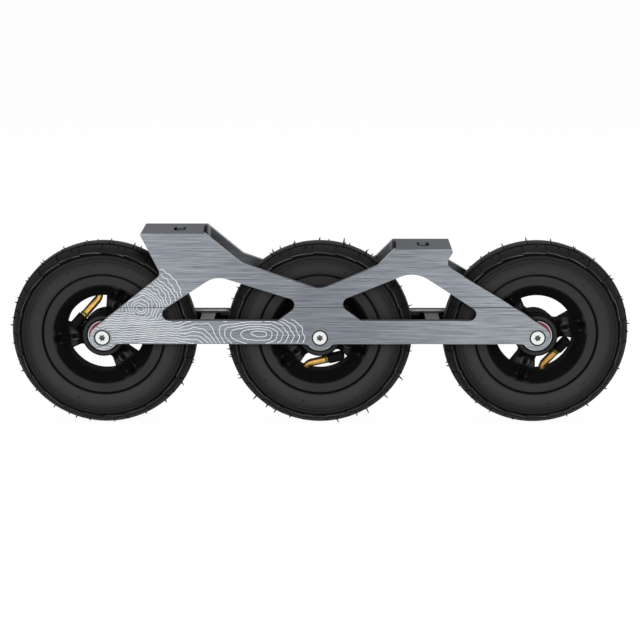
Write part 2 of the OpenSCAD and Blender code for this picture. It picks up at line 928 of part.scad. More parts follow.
module valve_stem(i) {
    foot_t = 0.8;
    foot_w = 1.5;
    foot_r = section_r - section_a + tube_inset + tube_wall + lap;
    thick_run = valve_run - cap_len / 2;
    collar_lap = 0.4;
    color(brass)
        on_valve(i) {
            translate([bend_start - collar_lap, 0, 0])
                rotate([0, 90, 0])
                    cylinder(h = foot_r + foot_t - bend_start + collar_lap, d = valve_base_d);
            translate([foot_r, 0, 0])
                rotate([0, 90, 0])
                    cylinder(h = foot_t, d = valve_d + 2 * foot_w);
            translate([bend_start, valve_bend_r, 0])
                rotate(-90 - valve_bend)
                    rotate_extrude(angle = valve_bend)
                        translate([valve_bend_r, 0])
                            circle(d = valve_d);
            past_bend() {
                translate([0, 0, -collar_lap])
                    cylinder(h = thick_run + collar_lap, d = valve_base_d);
                cylinder(h = valve_run, d = valve_thread_d);
            }
        }
}

module valve_cap(i) {
    thick_run = valve_run - cap_len / 2;
    thread_hole = valve_run - thick_run + run_gap;
    dome = 1.2;
    color(rubber_black)
        on_valve(i)
            past_bend()
                translate([0, 0, thick_run])
                    difference() {
                        union() {
                            cylinder(h = cap_len - dome, d = cap_d);
                            translate([0, 0, cap_len - dome])
                                cylinder(h = dome, d1 = cap_d, d2 = cap_d - 2 * dome);
                        }
                        translate([0, 0, -past])
                            cylinder(h = thread_hole + past, d = valve_thread_d + 2 * seat_gap);
                    }
}

frame_body();
for (i = [0:2]) {
    axle_bolt(i);
    bearing_spacer(i);
    bearing_inner_rings(i);
    bearing_outer_rings(i);
    bearing_balls(i);
    bearing_cages(i);
    bearing_seals(i);
    rim_near_half(i);
    rim_far_half(i);
    rim_screws(i);
    rim_nuts(i);
    tyre(i);
    inner_tube(i);
    valve_stem(i);
    valve_cap(i);
}
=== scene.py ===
import math
import random

import bpy
import numpy as np
from mathutils import Matrix, Vector
from mathutils.bvhtree import BVHTree


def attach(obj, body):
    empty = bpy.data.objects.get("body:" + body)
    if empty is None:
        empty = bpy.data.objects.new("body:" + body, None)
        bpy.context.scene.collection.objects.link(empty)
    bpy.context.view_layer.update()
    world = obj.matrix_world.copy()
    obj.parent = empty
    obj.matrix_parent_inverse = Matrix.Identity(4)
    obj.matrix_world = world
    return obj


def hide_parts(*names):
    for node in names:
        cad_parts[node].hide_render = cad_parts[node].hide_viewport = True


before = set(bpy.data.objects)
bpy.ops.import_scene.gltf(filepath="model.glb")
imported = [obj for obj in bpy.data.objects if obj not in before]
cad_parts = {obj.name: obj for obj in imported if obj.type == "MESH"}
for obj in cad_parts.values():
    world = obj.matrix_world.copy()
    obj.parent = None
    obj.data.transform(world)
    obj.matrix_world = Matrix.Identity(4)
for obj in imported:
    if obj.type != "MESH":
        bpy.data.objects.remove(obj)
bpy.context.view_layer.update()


# FRAME BODY
# One channel milled from an aluminium billet: two windowed walls, a heel and a toe mount and two
# bridges. The outside is brushed lengthwise and anodised blue-grey, and the mounts' tops are matt.

def put(tree, kind, settings, sockets):
    """Adds one shader node; a socket takes a number, a colour or another node's output."""
    made = tree.nodes.new("ShaderNode" + kind)
    for name, value in settings.items():
        setattr(made, name, value)
    for name, value in sockets.items():
        if isinstance(value, bpy.types.NodeSocket):
            tree.links.new(value, made.inputs[name])
        else:
            made.inputs[name].default_value = value
    return made


def maths(tree, operation, *values):
    """The result of one Math node."""
    return put(tree, "Math", {"operation": operation}, dict(enumerate(values))).outputs[0]


def ramp(tree, value, low, high, start=0.0, end=1.0):
    """A number from start to end, as a value goes from low to high."""
    return put(tree, "MapRange", {}, {0: value, 1: low, 2: high, 3: start, 4: end}).outputs[0]


def blend(tree, factor, first, second):
    """A mix of two colours, each given as three numbers or as another node's output."""
    one, two = [(*c, 1) if isinstance(c, tuple) else c for c in (first, second)]
    return put(tree, "Mix", {"data_type": "RGBA"}, {0: factor, 6: one, 7: two}).outputs[2]


def noise(tree, place, scale, detail, roughness=0.5):
    """A soft random pattern over a place, from 0 to 1."""
    sockets = {"Vector": place, "Scale": scale, "Detail": detail, "Roughness": roughness}
    return put(tree, "TexNoise", {}, sockets).outputs[0]


def parts_of(tree, what):
    """The X, Y and Z of a point's place ("Object") or of the way it faces ("Normal")."""
    spot = put(tree, "TexCoord", {}, {})
    return put(tree, "SeparateXYZ", {}, {0: spot.outputs[what]}).outputs


def new_effect(name, inputs, outputs):
    """An empty shader node group with number inputs, and its input and output nodes."""
    tree = bpy.data.node_groups.new(name, "ShaderNodeTree")
    for label, value in inputs.items():
        socket = tree.interface.new_socket(label, in_out="INPUT", socket_type="NodeSocketFloat")
        socket.default_value = value
    for label in outputs:
        tree.interface.new_socket(label, in_out="OUTPUT", socket_type="NodeSocketFloat")
    return tree, tree.nodes.new("NodeGroupInput"), tree.nodes.new("NodeGroupOutput")


def place_effect(tree, effect, values):
    """Places a node group in a material, with its own values."""
    made = tree.nodes.new("ShaderNodeGroup")
    made.node_tree = effect
    for label, value in values.items():
        made.inputs[label].default_value = value
    return made


def new_finish(name, **constants):
    """A material with one Principled shader, whose constant sockets are set here."""
    finish = bpy.data.materials.new(name)
    finish.use_nodes = True
    shader = finish.node_tree.nodes["Principled BSDF"]
    for label, value in constants.items():
        shader.inputs[label.replace("_", " ")].default_value = value
    return finish, finish.node_tree, shader


def tint(tree, shader, factor, dark, light):
    """Varies the base colour between two tones with a mask."""
    tree.links.new(blend(tree, factor, dark, light), shader.inputs["Base Color"])


def gloss(tree, shader, factor, low, high):
    """Varies the roughness between two values with a mask."""
    tree.links.new(ramp(tree, factor, 0.0, 1.0, low, high), shader.inputs["Roughness"])


def relief(tree, shader, height, depth, strength=1.0):
    """Raises the surface by a height from 0 to 1, over a depth in metres."""
    bump = put(tree, "Bump", {}, {"Height": height, "Distance": depth, "Strength": strength})
    tree.links.new(bump.outputs[0], shader.inputs["Normal"])


def dress(node, finish):
    """Gives a CAD node its finish."""
    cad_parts[node].data.materials.clear()
    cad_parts[node].data.materials.append(finish)
    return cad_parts[node]


# Brush lines run along X: broad streaks with fine scratches between them
brush_lines, here, out = new_effect("Brush_lines", {"Along": 20.0, "Across": 900.0},
                                    ("Tone", "Height"))
spot = put(brush_lines, "TexCoord", {}, {})
through = 40.0
stretch = put(brush_lines, "CombineXYZ", {},
              {0: here.outputs["Along"], 1: through, 2: here.outputs["Across"]})
drawn = put(brush_lines, "VectorMath", {"operation": "MULTIPLY"},
            {0: spot.outputs["Object"], 1: stretch.outputs[0]})
streak = noise(brush_lines, drawn.outputs[0], 1.0, 2.0, 0.55)
closer = put(brush_lines, "VectorMath", {"operation": "SCALE"}, {0: drawn.outputs[0], "Scale": 2.7})
scratch = noise(brush_lines, closer.outputs[0], 1.0, 2.0, 0.7)
both = put(brush_lines, "Mix", {}, {0: 0.45, 2: streak, 3: scratch})
wide = ramp(brush_lines, both.outputs[0], 0.36, 0.64)
brush_lines.links.new(wide, out.inputs["Tone"])
brush_lines.links.new(scratch, out.inputs["Height"])

# Where the frame's finish, its painted shade and its painted highlight change, in metres: heights,
# and distances from the part's middle planes
axle_pitch = 0.1475
half_pitch = axle_pitch / 2
mounts_low, bridges_high, gleam_high = 0.085, 0.0746, 0.0755
bridge_half, slot_half, walls_half = 0.0118, 0.0105, 0.0148

alloy, tree, shader = new_finish("brushed_alloy", Specular_IOR_Level=0.15)
lines = place_effect(tree, brush_lines, {"Along": 28.0, "Across": 2300.0})
tone = blend(tree, lines.outputs["Tone"], (0.14, 0.16, 0.181), (0.4, 0.43, 0.462))
# Level faces: the bars, the mounts' tops and the bridges, each with its own tone; the bars' tops are
# painted darker as shade, and the bridges' tops carry painted shadow at their ends
facing = parts_of(tree, "Normal")
level = ramp(tree, facing[2], 0.9, 0.99)
place = parts_of(tree, "Object")
outside = maths(tree, "ABSOLUTE", place[1])
mount_top = maths(tree, "GREATER_THAN", place[2], mounts_low)
bar_tone = blend(tree, mount_top, (0.055, 0.056, 0.06), (0.1, 0.102, 0.108))
bridge_low = maths(tree, "LESS_THAN", place[2], bridges_high)
bridge_mid = maths(tree, "LESS_THAN", outside, bridge_half)
bridge_top = maths(tree, "MULTIPLY", bridge_low, bridge_mid)
top_tone = blend(tree, bridge_top, bar_tone, (0.2, 0.202, 0.207))
dark_top = blend(tree, level, tone, top_tone)
# Painted shade: the colour darkens a little towards the middle of the frame
off_middle = maths(tree, "ABSOLUTE", place[0])
to_middle = ramp(tree, off_middle, 0.01, 0.11, 0.28, 0.0)
middle_shaded = blend(tree, to_middle, dark_top, (0.0, 0.004, 0.01))
# Painted shade on the inner faces of the walls, without the mounts' tops: near black low on the bars,
# and darker near the front end
wall = ramp(tree, outside, 0.0189, 0.01905, 1.0, 0.0)
past_slot = maths(tree, "GREATER_THAN", outside, slot_half)
within = maths(tree, "MULTIPLY", wall, past_slot)
top_face = maths(tree, "MULTIPLY", level, mount_top)
not_top = maths(tree, "SUBTRACT", 1.0, top_face)
inner = maths(tree, "MULTIPLY", within, not_top)
on_bar = ramp(tree, place[2], 0.0756, 0.077)
low_in = ramp(tree, place[2], 0.0708, 0.0722)
bar_in = blend(tree, low_in, (0.004, 0.004, 0.004), (0.06, 0.061, 0.063))
to_front = ramp(tree, place[0], 0.092, 0.098)
wall_in = blend(tree, to_front, (0.18, 0.187, 0.2), (0.075, 0.078, 0.082))
inner_shade = blend(tree, on_bar, bar_in, wall_in)
shaded = blend(tree, inner, middle_shaded, inner_shade)
# The gleam on the inside of a bar beside each bridge
to_bridge = maths(tree, "SUBTRACT", off_middle, half_pitch)
from_bridge = maths(tree, "ABSOLUTE", to_bridge)
beside = ramp(tree, from_bridge, 0.006, 0.02, 1.0, 0.0)
upper = ramp(tree, place[2], 0.0739, bridges_high)
below = maths(tree, "LESS_THAN", place[2], gleam_high)
band = maths(tree, "MULTIPLY", upper, below)
gleam = maths(tree, "MULTIPLY", band, beside)
lit = maths(tree, "MULTIPLY", gleam, inner)
gleaming = blend(tree, lit, shaded, (0.95, 0.95, 0.96))
# The channel's open ends and the slopes between the walls lie in the dark
sideways = maths(tree, "ABSOLUTE", facing[0])
end_face = ramp(tree, sideways, 0.45, 0.85)
between = maths(tree, "LESS_THAN", outside, walls_half)
ends = maths(tree, "MULTIPLY", end_face, between)
hollow = blend(tree, ends, gleaming, (0.012, 0.012, 0.013))
tree.links.new(hollow, shader.inputs["Base Color"])
# Metallic is off on the matt level faces and on the painted gleam
matt_or_gleam = maths(tree, "MAXIMUM", level, lit)
bare = ramp(tree, matt_or_gleam, 0.0, 1.0, 1.0, 0.0)
tree.links.new(bare, shader.inputs["Metallic"])
sheen = ramp(tree, lines.outputs["Tone"], 0.0, 1.0, 0.3, 0.46)
matt = put(tree, "Mix", {}, {0: level, 2: sheen, 3: 0.8})
tree.links.new(matt.outputs[0], shader.inputs["Roughness"])
relief(tree, shader, lines.outputs["Height"], 0.00004, 0.5)

# The chamfers are bare metal, with painted shade where they face down
bright_edge, tree, shader = new_finish("bright_edge", Metallic=1.0)
lines = place_effect(tree, brush_lines, {"Along": 60.0, "Across": 300.0})
tone = blend(tree, lines.outputs["Tone"], (0.24, 0.26, 0.28), (0.42, 0.44, 0.46))
facing = parts_of(tree, "Normal")
upward = ramp(tree, facing[2], -0.05, 0.15)
down_shaded = blend(tree, upward, (0.02, 0.021, 0.022), tone)
tree.links.new(down_shaded, shader.inputs["Base Color"])
gloss(tree, shader, lines.outputs["Tone"], 0.25, 0.4)

body = dress("frame_body", alloy)
body.data.materials.append(bright_edge)
weld = body.modifiers.new("weld", "WELD")
weld.merge_threshold = 0.000002
# The clamp on overlaps leaves the chamfers far narrower than the width that is set here
chamfer = body.modifiers.new("chamfer", "BEVEL")
chamfer.width = 0.0003
chamfer.segments = 1
chamfer.limit_method = "ANGLE"
chamfer.angle_limit = math.radians(50)
chamfer.material = 1
even = body.modifiers.new("even", "WEIGHTED_NORMAL")
even.keep_sharp = True


# PRINTED CONTOURS
# A decoration of thin white contour lines, as on a map, screen-printed on the outer faces of the
# rear strut and the lower bar. The ink is a film far thinner than a hair, just clear of the metal.

# Width of a line, height of the ink, gap at the metal's edges and height of the axles, in metres
line_w = 0.00044
ink_t = 0.000015
edge_gap = 0.0005
axle_z = 0.0635

ink, tree, shader = new_finish("white_ink", Metallic=0.0)
lines = place_effect(tree, brush_lines, {"Along": 80.0, "Across": 900.0})
tint(tree, shader, lines.outputs["Tone"], (0.62, 0.64, 0.65), (0.82, 0.83, 0.83))
gloss(tree, shader, lines.outputs["Tone"], 0.42, 0.58)

metal = BVHTree.FromPolygons([v.co.copy() for v in body.data.vertices],
                             [list(p.vertices) for p in body.data.polygons])
# A ray starts in front of the near wall and ends before the far one
in_front, probe = -0.05, 0.032


def on_wall(x, z):
    """The wall's outer face at a point, or None where the print has to stop short of an edge."""
    found = None
    for dx, dz in ((0, 0), (edge_gap, 0), (-edge_gap, 0), (0, edge_gap), (0, -edge_gap)):
        start = Vector((x + dx, in_front, z + dz))
        hit, normal, _, _ = metal.ray_cast(start, Vector((0, 1, 0)), probe)
        if hit is None or normal.y > -0.9:
            return None
        found = found or hit
    return found


def ease(share):
    """A smooth step from 0 to 1."""
    share = np.clip(share, 0, 1)
    return share * share * (3 - 2 * share)


# The bar and the strut have a map each, in mm from the middle axle, with lines numbered apart
strut_x = -86
strut_lines = 40


def land(x, z):
    """Height of the map's land over a point, counted in lines: slopes, hills and ripples."""
    wave = 2 * np.pi * x
    ripple = (0.7 * np.sin(wave / 52 + 0.11 * z + 0.8) + 0.4 * np.sin(wave / 19 + 0.21 * z)
              + 0.2 * np.sin(wave / 7.3 - 0.5 * z))
    shift = 1.1 * np.sin(0.42 * z + 0.05 * x) + 0.4 * np.sin(1.03 * z + 0.2 * x)
    slope = (z - 4 + ripple) / (1.6 + 1.2 * ease((x + 105) / 35))
    away = x + 40 + shift
    above = z - 3.4 + 0.6 * ripple
    hill = 8 - np.hypot(away / np.where(away > 0, 3.7, 7.5), above / np.where(above > 0, 1.6, 2.4))
    bar = slope + ease((x + 88) / 30) * (hill - slope)
    rise = z - 20.5
    far = np.hypot(x + 121, rise * np.where(rise > 0, 1, 1.3))
    far = far + 0.6 * np.sin(0.35 * x + 0.5 * z) + 0.3 * np.sin(0.9 * x - 0.7 * z)
    strut = strut_lines + np.minimum(far, 21) / 2.1 + np.maximum(far - 21, 0) / 3
    border = 13.4 + 5.4 * ease((-106 - x) / 30)
    return np.where((z > border) & (x < strut_x), strut, bar)


# Each line is followed through a fine grid of cells, from one side of a cell to another, in mm.
# A cell that meets both maps holds a cliff of many lines and stays bare, as do the axles' heads.
cell = 0.5
cliff = 8
slight = 0.05
head_clear = 6.4
map_x, map_z = np.arange(-158, -8, cell), np.arange(-9, 48, cell)
levels = land(map_x[:, None], map_z[None, :])
points, faces, crossed = [], [], {}


def cross(line, i, j, ahead):
    """The number of the first of two ink points where a line crosses a cell's side, or None."""
    if (line, i, j, ahead) not in crossed:
        low = levels[i, j]
        share = (line - low) / (levels[i + ahead, j + 1 - ahead] - low)
        x, z = map_x[i] + cell * share * ahead, map_z[j] + cell * share * (1 - ahead)
        drawn_line = -12 < line < 12 or strut_lines < line < strut_lines + 14
        in_map = (x < strut_x or z < 13) and drawn_line and (x < -58 or line >= 0)
        near_axle = any(math.hypot(x - a, z) < head_clear for a in (-147.5, 0))
        hit = on_wall(x / 1000, axle_z + z / 1000) if in_map and not near_axle else None
        if hit is not None:
            uphill = Vector((land(x + slight, z) - land(x - slight, z), 0,
                             land(x, z + slight) - land(x, z - slight))).normalized()
            points.extend(hit + Vector((0, -ink_t, 0)) + uphill * (side * line_w / 2)
                          for side in (-1, 1))
        crossed[line, i, j, ahead] = len(points) - 2 if hit is not None else None
    return crossed[line, i, j, ahead]


for i in range(len(map_x) - 1):
    for j in range(len(map_z) - 1):
        corners = levels[i:i + 2, j:j + 2]
        if corners.max() - corners.min() > cliff:
            continue
        for line in range(math.ceil(corners.min()), math.floor(corners.max()) + 1):
            sides = [(a, b, ahead)
                     for a, b, ahead in ((i, j, 1), (i + 1, j, 0), (i, j + 1, 1), (i, j, 0))
                     if (levels[a, b] < line) != (levels[a + ahead, b + 1 - ahead] < line)]
            for first, second in zip(sides[::2], sides[1::2]):
                start, stop = cross(line, *first), cross(line, *second)
                if start is not None and stop is not None:
                    onward, over = points[stop] - points[start], points[start + 1] - points[start]
                    quad = (start, stop, stop + 1, start + 1)
                    faces.append(quad if onward.cross(over).y < 0 else quad[::-1])

# The far wall carries a mirrored copy
near_points = len(points)
points += [Vector((p.x, -p.y, p.z)) for p in points]
faces += [tuple(near_points + i for i in reversed(f)) for f in faces]


def add_object(name, data):
    """A new object in the scene."""
    made = bpy.data.objects.new(name, data)
    bpy.context.scene.collection.objects.link(made)
    return made


contours = bpy.data.meshes.new("printed_contours")
contours.from_pydata([tuple(p) for p in points], [], faces)
contours.materials.append(ink)
printed = add_object("printed_contours", contours)
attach(printed, "frame")


# AXLE BOLTS
# A through axle for each wheel, turned from steel and plated bright, with a low head sunk flush in
# the near wall and a six-lobed recess. Its shank clamps the bearings' inner rings and the spacer.

# Rings left by a lathe round each axle, which repeat along the frame at the axles' pitch
turned_rings, here, out = new_effect("Turned_rings", {"Rings": 1800.0},
                                     ("Tone", "Height", "Reach"))
place = parts_of(turned_rings, "Object")
along = maths(turned_rings, "WRAP", place[0], half_pitch, -half_pitch)
above = maths(turned_rings, "SUBTRACT", place[2], axle_z)
arm = put(turned_rings, "CombineXYZ", {}, {0: along, 1: 0.0, 2: above})
reach = put(turned_rings, "VectorMath", {"operation": "LENGTH"}, {0: arm.outputs[0]})
count = maths(turned_rings, "MULTIPLY", reach.outputs["Value"], here.outputs["Rings"])
ring = put(turned_rings, "TexNoise", {"noise_dimensions": "1D"},
           {"W": count, "Scale": 1.0, "Detail": 2.0})
turned_rings.links.new(ring.outputs[0], out.inputs["Height"])
turned_rings.links.new(reach.outputs["Value"], out.inputs["Reach"])
wide = ramp(turned_rings, ring.outputs[0], 0.3, 0.7)
turned_rings.links.new(wide, out.inputs["Tone"])

wheels = ("rear", "middle", "front")
plated, tree, shader = new_finish("plated_steel", Metallic=1.0)
rings = place_effect(tree, turned_rings, {"Rings": 2600.0})
tone = blend(tree, rings.outputs["Tone"], (0.7, 0.71, 0.71), (0.88, 0.89, 0.89))
# Painted shade: the drive recess and the gap round the head are coloured dark
place = parts_of(tree, "Object")
sunk = ramp(tree, place[1], -0.01935, -0.0187)
recess = blend(tree, sunk, tone, (0.1, 0.1, 0.1))
brim = ramp(tree, rings.outputs["Reach"], 0.00445, 0.00465)
head_gap_shaded = blend(tree, brim, recess, (0.05, 0.05, 0.052))
tree.links.new(head_gap_shaded, shader.inputs["Base Color"])
gloss(tree, shader, rings.outputs["Tone"], 0.22, 0.34)
relief(tree, shader, rings.outputs["Height"], 0.00002, 0.4)
for wheel in wheels:
    dress(f"{wheel}_axle_bolt", plated)


# BEARINGS
# Two sealed ball bearings in each hub: ground steel rings and balls, a moulded nylon cage, and red
# rubber seals pressed into the outer ring. A turned aluminium spacer keeps the inner rings apart.

ground, tree, shader = new_finish("ground_steel", Metallic=1.0)
rings = place_effect(tree, turned_rings, {"Rings": 5200.0})
tone = blend(tree, rings.outputs["Tone"], (0.5, 0.5, 0.51), (0.66, 0.66, 0.67))
# Painted shade: the outer ring's edge past 10.2 mm from the axle is coloured near black
rounded = ramp(tree, rings.outputs["Reach"], 0.0102, 0.0105)
edge = blend(tree, rounded, tone, (0.015, 0.015, 0.015))
tree.links.new(edge, shader.inputs["Base Color"])
gloss(tree, shader, rings.outputs["Tone"], 0.16, 0.3)

polished, tree, shader = new_finish("polished_balls", Metallic=1.0)
rings = place_effect(tree, turned_rings, {"Rings": 900.0})
tint(tree, shader, rings.outputs["Tone"], (0.66, 0.66, 0.67), (0.74, 0.74, 0.75))
gloss(tree, shader, rings.outputs["Tone"], 0.05, 0.09)

spacer_alloy, tree, shader = new_finish("turned_spacer", Metallic=1.0)
rings = place_effect(tree, turned_rings, {"Rings": 3000.0})
tint(tree, shader, rings.outputs["Tone"], (0.55, 0.55, 0.57), (0.7, 0.7, 0.72))
gloss(tree, shader, rings.outputs["Tone"], 0.28, 0.42)

# Grain of a moulded surface: a fine stipple over a slow drift in tone
moulded_grain, here, out = new_effect("Moulded_grain", {"Fine": 2600.0, "Broad": 45.0},
                                      ("Tone", "Height", "Drift"))
spot = put(moulded_grain, "TexCoord", {}, {})
stipple = noise(moulded_grain, spot.outputs["Object"], here.outputs["Fine"], 2.0)
drift = noise(moulded_grain, spot.outputs["Object"], here.outputs["Broad"], 3.0)
both = put(moulded_grain, "Mix", {}, {0: 0.5, 2: stipple, 3: drift})
wide = ramp(moulded_grain, both.outputs[0], 0.35, 0.65)
moulded_grain.links.new(wide, out.inputs["Tone"])
moulded_grain.links.new(stipple, out.inputs["Height"])
slow = ramp(moulded_grain, drift, 0.35, 0.65)
moulded_grain.links.new(slow, out.inputs["Drift"])

cage_nylon, tree, shader = new_finish("cage_nylon")
grain = place_effect(tree, moulded_grain, {"Fine": 4000.0, "Broad": 200.0})
tint(tree, shader, grain.outputs["Tone"], (0.62, 0.58, 0.46), (0.72, 0.68, 0.56))
gloss(tree, shader, grain.outputs["Tone"], 0.45, 0.6)

seal_red, tree, shader = new_finish("seal_rubber", Specular_IOR_Level=0.4)
rings = place_effect(tree, turned_rings, {"Rings": 1500.0})
tint(tree, shader, rings.outputs["Tone"], (0.22, 0.012, 0.032), (0.33, 0.02, 0.046))
gloss(tree, shader, rings.outputs["Tone"], 0.42, 0.55)
relief(tree, shader, rings.outputs["Height"], 0.00005, 0.5)

for wheel in wheels:
    dress(f"{wheel}_bearing_inner_rings", ground)
    dress(f"{wheel}_bearing_outer_rings", ground)
    dress(f"{wheel}_bearing_balls", polished)
    dress(f"{wheel}_bearing_spacer", spacer_alloy)
    dress(f"{wheel}_bearing_cages", cage_nylon)
    dress(f"{wheel}_bearing_seals", seal_red)


# RIMS
# Each rim is moulded in two halves from glass-filled nylon, dark grey-brown with a satin skin on the
# flanges. Three blackened screws with nuts on the far side draw the halves together at the spokes.

# Place of a point beside and along the nearest of the three spokes
spoke_place, here, out = new_effect("Spoke_place", {"Phase": 0.0}, ("Beside", "Along"))
place = parts_of(spoke_place, "Object")
ahead = maths(spoke_place, "WRAP", place[0], half_pitch, -half_pitch)
above = maths(spoke_place, "SUBTRACT", place[2], axle_z)
arm = put(spoke_place, "CombineXYZ", {}, {0: ahead, 1: 0.0, 2: above})
reach = put(spoke_place, "VectorMath", {"operation": "LENGTH"}, {0: arm.outputs[0]})
angle = maths(spoke_place, "ARCTAN2", above, ahead)
turned = maths(spoke_place, "SUBTRACT", angle, here.outputs["Phase"])
half_sector = math.pi / 3
nearest = maths(spoke_place, "WRAP", turned, half_sector, -half_sector)
sine = maths(spoke_place, "SINE", nearest)
aside = maths(spoke_place, "MULTIPLY", reach.outputs["Value"], sine)
beside = maths(spoke_place, "ABSOLUTE", aside)
cosine = maths(spoke_place, "COSINE", nearest)
along = maths(spoke_place, "MULTIPLY", reach.outputs["Value"], cosine)
spoke_place.links.new(beside, out.inputs["Beside"])
spoke_place.links.new(along, out.inputs["Along"])

# Angle of a spoke in each wheel, in degrees
spoke_phase = {"rear": 66, "middle": 218, "front": 252}
in_shadow = (0.0025, 0.0025, 0.0025)
for wheel in wheels:
    nylon, tree, shader = new_finish(f"{wheel}_rim_nylon", Specular_IOR_Level=0.06)
    grain = place_effect(tree, moulded_grain, {"Fine": 2400.0, "Broad": 55.0})
    tone = blend(tree, grain.outputs["Tone"], (0.0278, 0.0263, 0.0275), (0.0346, 0.0331, 0.0343))
    # The flange and the hub's end stand in the light, and the hollow between them doesn't
    place = parts_of(tree, "Object")
    outside = maths(tree, "ABSOLUTE", place[1])
    facing = parts_of(tree, "Normal")
    sideways = maths(tree, "ABSOLUTE", facing[1])
    flat = ramp(tree, sideways, 0.9, 0.97)
    raised = ramp(tree, outside, 0.0088, 0.0094)
    rings = place_effect(tree, turned_rings, {"Rings": 900.0})
    rounded = ramp(tree, rings.outputs["Reach"], 0.0341, 0.0352)
    hub_end = maths(tree, "LESS_THAN", rings.outputs["Reach"], 0.02)
    hub_face = maths(tree, "MULTIPLY", flat, hub_end)
    hub_raised = maths(tree, "MULTIPLY", hub_face, raised)
    land_face = maths(tree, "MAXIMUM", rounded, hub_raised)
    rim_edge = ramp(tree, rings.outputs["Reach"], 0.0398, 0.0402)
    face = maths(tree, "MAXIMUM", land_face, rim_edge)
    # The spokes' flat pads catch the light beside the screws, and less at the flange
    spoke = place_effect(tree, spoke_place, {"Phase": math.radians(spoke_phase[wheel])})
    pad = ramp(tree, outside, 0.0015, 0.002)
    pad_face = maths(tree, "MULTIPLY", flat, pad)
    past_hub = ramp(tree, spoke.outputs["Along"], 0.0185, 0.0202)
    to_flange = ramp(tree, spoke.outputs["Along"], 0.0222, 0.0244, 1.0, 0.0)
    near_screw = maths(tree, "MULTIPLY", past_hub, to_flange)
    at_flange = ramp(tree, spoke.outputs["Along"], 0.0285, 0.0305, 0.0, 0.5)
    parts = maths(tree, "MAXIMUM", near_screw, at_flange)
    wide = ramp(tree, spoke.outputs["Beside"], 0.002, 0.003)
    close = ramp(tree, spoke.outputs["Beside"], 0.006, 0.0075, 1.0, 0.0)
    cheeks = maths(tree, "MULTIPLY", wide, close)
    sides = maths(tree, "MULTIPLY", parts, cheeks)
    patch = maths(tree, "MULTIPLY", sides, pad_face)
    lit = maths(tree, "MAXIMUM", face, patch)
    skin = blend(tree, lit, in_shadow, tone)
    tree.links.new(skin, shader.inputs["Base Color"])
    satin = ramp(tree, grain.outputs["Drift"], 0.0, 1.0, 0.46, 0.58)
    matt = put(tree, "Mix", {}, {0: face, 2: 0.9, 3: satin})
    tree.links.new(matt.outputs[0], shader.inputs["Roughness"])
    relief(tree, shader, grain.outputs["Height"], 0.00003, 0.5)
    dress(f"{wheel}_rim_near_half", nylon)
    dress(f"{wheel}_rim_far_half", nylon)

for wheel in wheels:
    blackened, tree, shader = new_finish(f"{wheel}_blackened_steel", Specular_IOR_Level=0.07)
    grain = place_effect(tree, moulded_grain, {"Fine": 5000.0, "Broad": 300.0})
    tone = blend(tree, grain.outputs["Tone"], (0.05, 0.049, 0.049), (0.07, 0.069, 0.069))
    # A broad slot along the spoke leaves two cheeks of each head in the light
    spoke = place_effect(tree, spoke_place, {"Phase": math.radians(spoke_phase[wheel])})
    facing = parts_of(tree, "Normal")
    sideways = maths(tree, "ABSOLUTE", facing[1])
    flat = ramp(tree, sideways, 0.9, 0.97)
    cheek = ramp(tree, spoke.outputs["Beside"], 0.0014, 0.0024)
    lit = maths(tree, "MULTIPLY", flat, cheek)
    # The head's colour holds painted shade along the spoke's middle, and its two cheeks keep the
    # steel's tone
    head_lit_and_shaded = blend(tree, lit, in_shadow, tone)
    tree.links.new(head_lit_and_shaded, shader.inputs["Base Color"])
    gloss(tree, shader, grain.outputs["Tone"], 0.45, 0.6)
    dress(f"{wheel}_rim_screws", blackened)
    dress(f"{wheel}_rim_nuts", blackened)


# INNER TUBES
# A butyl tube lies inside each tyre and holds the air. It is smooth, thin and black, with a dusting
# of talc.

butyl, tree, shader = new_finish("tube_butyl")
grain = place_effect(tree, moulded_grain, {"Fine": 1800.0, "Broad": 90.0})
tint(tree, shader, grain.outputs["Tone"], (0.018, 0.018, 0.018), (0.05, 0.05, 0.05))
gloss(tree, shader, grain.outputs["Tone"], 0.5, 0.7)
for wheel in wheels:
    dress(f"{wheel}_inner_tube", butyl)


# TYRES
# A pneumatic tyre of black rubber, cured in a mould: two long tread grooves, shoulder grooves between
# blocks, a stepped lip where the tread meets the side, fine ribs round the side, and the beads that
# grip the rim.

# Sizes of the section in mm, as in the part's source
tyre_r = 63.5
half_w = 13.5
flange_r = 41.0
casing = 2.6
square = 2.3
section_a = (tyre_r - flange_r) / 2 + 1.5
section_r = tyre_r - section_a
blocks = 24


def side_point(inset, turn):
    """A point of the section at an angle from the crown: how far from the axle and the middle."""
    c, s = np.cos(np.radians(turn)), np.sin(np.radians(turn))
    power = 2 / square
    return np.array([section_r + (section_a - inset) * np.sign(c) * np.abs(c) ** power,
                     (half_w - inset) * np.sign(s) * np.abs(s) ** power])


# Distance along the rubber's outside from the crown, for each angle
bead_gap = 1.1
rest = section_r - flange_r - bead_gap
last_turn = 180 - math.degrees(math.acos((rest / section_a) ** (square / 2)))
fine_steps = 1331
fine_turn = np.linspace(0, last_turn, fine_steps)
walk = side_point(0, fine_turn).T
run = np.concatenate([[0], np.cumsum(np.linalg.norm(np.diff(walk, axis=0), axis=1))])


def run_at(turn):
    """The distance from the crown at an angle."""
    return float(np.interp(turn, fine_turn, run))


